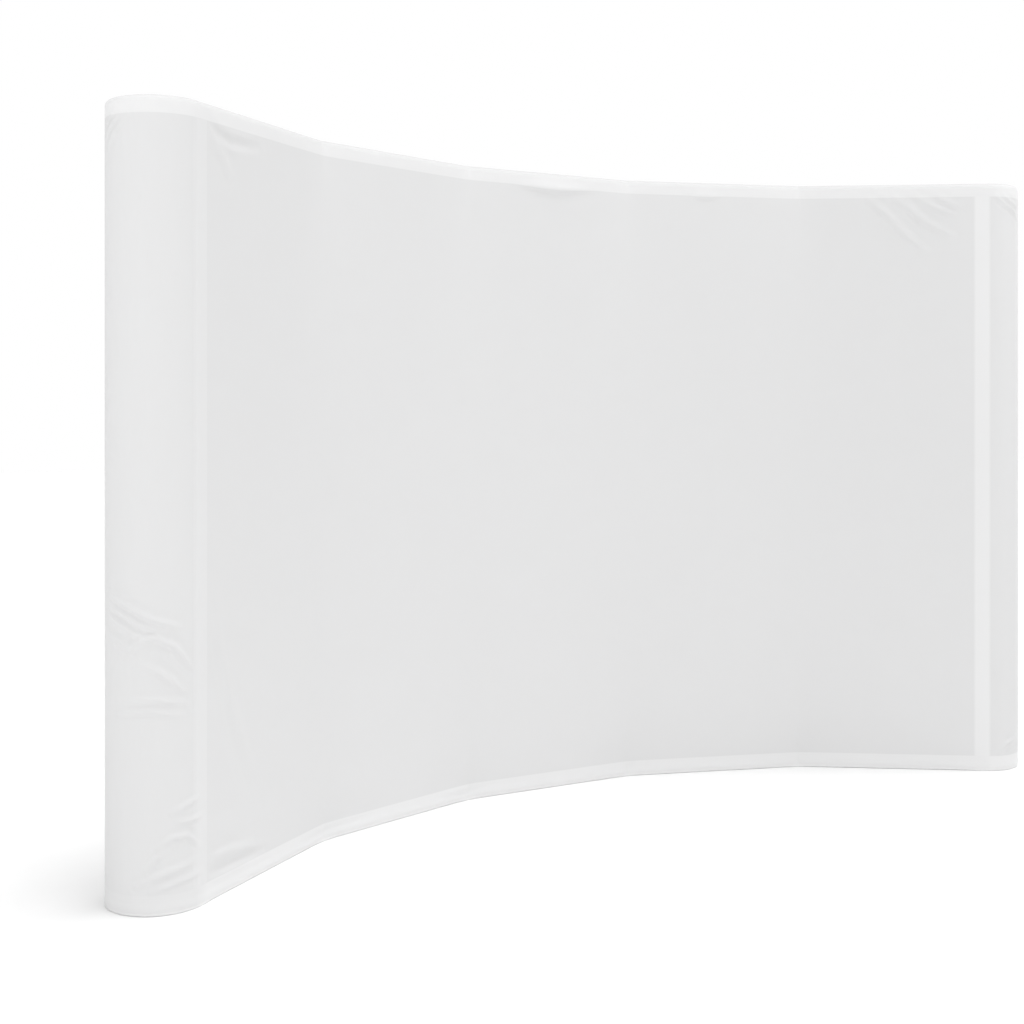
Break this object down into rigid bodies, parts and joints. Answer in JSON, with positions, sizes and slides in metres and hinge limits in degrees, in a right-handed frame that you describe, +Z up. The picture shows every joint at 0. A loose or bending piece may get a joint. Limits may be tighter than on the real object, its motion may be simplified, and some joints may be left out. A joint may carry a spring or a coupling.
{
  "type": "curved banner wall",
  "caption": "Free-standing curved banner wall: plain white stretch cloth with rail pockets and round ends, on a knock-down aluminium tube frame with spring buttons and levelling feet.",
  "frame": {"origin": "on the floor, at the middle of the wall's outline", "axes": "+X along the wall to the viewer's right, +Y to the back, +Z up; the hollow front faces -Y"},
  "size_m": [3.6758, 0.725, 2.3],
  "materials": {
    "banner_cloth": "matt white stretch polyester",
    "tube": "satin anodised",
    "nylon_fitting": "moulded nylon",
    "foot": "natural white nylon",
    "ferrule": "mill finish",
    "rivet": "flush rivet",
    "spring_steel": "plated spring steel",
    "zip_chain": "white nylon coil",
    "zip_metal": "plated die casting"
  },
  "bodies": {
    "frame": {"bottom_rail_1": "tube", "bottom_rail_2": "tube", "bottom_rail_3": "tube", "bottom_rail_4": "tube", "bottom_rail_5": "tube", "top_rail_1": "tube", "top_rail_2": "tube", "top_rail_3": "tube", "top_rail_4": "tube", "top_rail_5": "tube", "bottom_end_bends": "tube", "bottom_elbows": "nylon_fitting", "bottom_front_corners": "nylon_fitting", "bottom_back_corners": "nylon_fitting", "top_end_bends": "tube", "top_elbows": "nylon_fitting", "top_front_corners": "nylon_fitting", "top_back_corners": "nylon_fitting", "front_upright_1_lower": "tube", "front_upright_2_lower": "tube", "front_upright_3_lower": "tube", "front_upright_4_lower": "tube", "front_upright_5_lower": "tube", "front_upright_6_lower": "tube", "back_upright_left_lower": "tube", "back_upright_right_lower": "tube", "front_upright_1_upper": "tube", "front_upright_2_upper": "tube", "front_upright_3_upper": "tube", "front_upright_4_upper": "tube", "front_upright_5_upper": "tube", "front_upright_6_upper": "tube", "back_upright_left_upper": "tube", "back_upright_right_upper": "tube", "upright_ferrules": "ferrule", "ferrule_rivets": "rivet", "button_spring_seats": "spring_steel", "banner": "banner_cloth", "corner_sleeves": "banner_cloth", "edge_zips": "zip_chain"},
    "front_foot_1": {"front_foot_1": "foot"},
    "front_upright_1_button": {"front_upright_1_button": "spring_steel"},
    "front_foot_2": {"front_foot_2": "foot"},
    "front_upright_2_button": {"front_upright_2_button": "spring_steel"},
    "front_foot_3": {"front_foot_3": "foot"},
    "front_upright_3_button": {"front_upright_3_button": "spring_steel"},
    "front_foot_4": {"front_foot_4": "foot"},
    "front_upright_4_button": {"front_upright_4_button": "spring_steel"},
    "front_foot_5": {"front_foot_5": "foot"},
    "front_upright_5_button": {"front_upright_5_button": "spring_steel"},
    "front_foot_6": {"front_foot_6": "foot"},
    "front_upright_6_button": {"front_upright_6_button": "spring_steel"},
    "back_foot_left": {"back_foot_left": "foot"},
    "back_upright_left_button": {"back_upright_left_button": "spring_steel"},
    "back_foot_right": {"back_foot_right": "foot"},
    "back_upright_right_button": {"back_upright_right_button": "spring_steel"},
    "zip_slider_left": {"zip_slider_left": "zip_metal"},
    "zip_pull_tab_left": {"zip_pull_tab_left": "zip_metal"},
    "zip_slider_right": {"zip_slider_right": "zip_metal"},
    "zip_pull_tab_right": {"zip_pull_tab_right": "zip_metal"}
  },
  "joints": [
    {"name": "front_foot_1_level", "type": "slide", "parent": "frame", "child": "front_foot_1", "axis": [0, 0, -1], "range_m": [0, 0.012]},
    {"name": "front_upright_1_button_press", "type": "slide", "parent": "frame", "child": "front_upright_1_button", "axis": [0.599, -0.8007, 0], "range_m": [0, 0.0052], "stiffness_N_per_m": 1000, "springref_m": -0.004},
    {"name": "front_foot_2_level", "type": "slide", "parent": "frame", "child": "front_foot_2", "axis": [0, 0, -1], "range_m": [0, 0.012]},
    {"name": "front_upright_2_button_press", "type": "slide", "parent": "frame", "child": "front_upright_2_button", "axis": [0.4633, -0.8862, 0], "range_m": [0, 0.0052], "stiffness_N_per_m": 1000, "springref_m": -0.004},
    {"name": "front_foot_3_level", "type": "slide", "parent": "frame", "child": "front_foot_3", "axis": [0, 0, -1], "range_m": [0, 0.012]},
    {"name": "front_upright_3_button_press", "type": "slide", "parent": "frame", "child": "front_upright_3_button", "axis": [0.1599, -0.9871, 0], "range_m": [0, 0.0052], "stiffness_N_per_m": 1000, "springref_m": -0.004},
    {"name": "front_foot_4_level", "type": "slide", "parent": "frame", "child": "front_foot_4", "axis": [0, 0, -1], "range_m": [0, 0.012]},
    {"name": "front_upright_4_button_press", "type": "slide", "parent": "frame", "child": "front_upright_4_button", "axis": [-0.1599, -0.9871, 0], "range_m": [0, 0.0052], "stiffness_N_per_m": 1000, "springref_m": -0.004},
    {"name": "front_foot_5_level", "type": "slide", "parent": "frame", "child": "front_foot_5", "axis": [0, 0, -1], "range_m": [0, 0.012]},
    {"name": "front_upright_5_button_press", "type": "slide", "parent": "frame", "child": "front_upright_5_button", "axis": [-0.4633, -0.8862, 0], "range_m": [0, 0.0052], "stiffness_N_per_m": 1000, "springref_m": -0.004},
    {"name": "front_foot_6_level", "type": "slide", "parent": "frame", "child": "front_foot_6", "axis": [0, 0, -1], "range_m": [0, 0.012]},
    {"name": "front_upright_6_button_press", "type": "slide", "parent": "frame", "child": "front_upright_6_button", "axis": [-0.599, -0.8007, 0], "range_m": [0, 0.0052], "stiffness_N_per_m": 1000, "springref_m": -0.004},
    {"name": "back_foot_left_level", "type": "slide", "parent": "frame", "child": "back_foot_left", "axis": [0, 0, -1], "range_m": [0, 0.012]},
    {"name": "back_upright_left_button_press", "type": "slide", "parent": "frame", "child": "back_upright_left_button", "axis": [-0.599, 0.8007, 0], "range_m": [0, 0.0052], "stiffness_N_per_m": 1000, "springref_m": -0.004},
    {"name": "back_foot_right_level", "type": "slide", "parent": "frame", "child": "back_foot_right", "axis": [0, 0, -1], "range_m": [0, 0.012]},
    {"name": "back_upright_right_button_press", "type": "slide", "parent": "frame", "child": "back_upright_right_button", "axis": [0.599, 0.8007, 0], "range_m": [0, 0.0052], "stiffness_N_per_m": 1000, "springref_m": -0.004},
    {"name": "zip_slider_left_run", "type": "slide", "parent": "frame", "child": "zip_slider_left", "axis": [0, 0, 1], "range_m": [0, 2.1188]},
    {"name": "zip_pull_tab_left_swing", "type": "hinge", "parent": "zip_slider_left", "child": "zip_pull_tab_left", "pos_m": [-1.7349, -0.09047, 0.0966], "axis": [0.599, -0.8007, 0], "range_deg": [0, 150]},
    {"name": "zip_slider_right_run", "type": "slide", "parent": "frame", "child": "zip_slider_right", "axis": [0, 0, 1], "range_m": [0, 2.1188]},
    {"name": "zip_pull_tab_right_swing", "type": "hinge", "parent": "zip_slider_right", "child": "zip_pull_tab_right", "pos_m": [1.7349, -0.09047, 0.0966], "axis": [0.599, 0.8007, 0], "range_deg": [0, 150]}
  ]
}
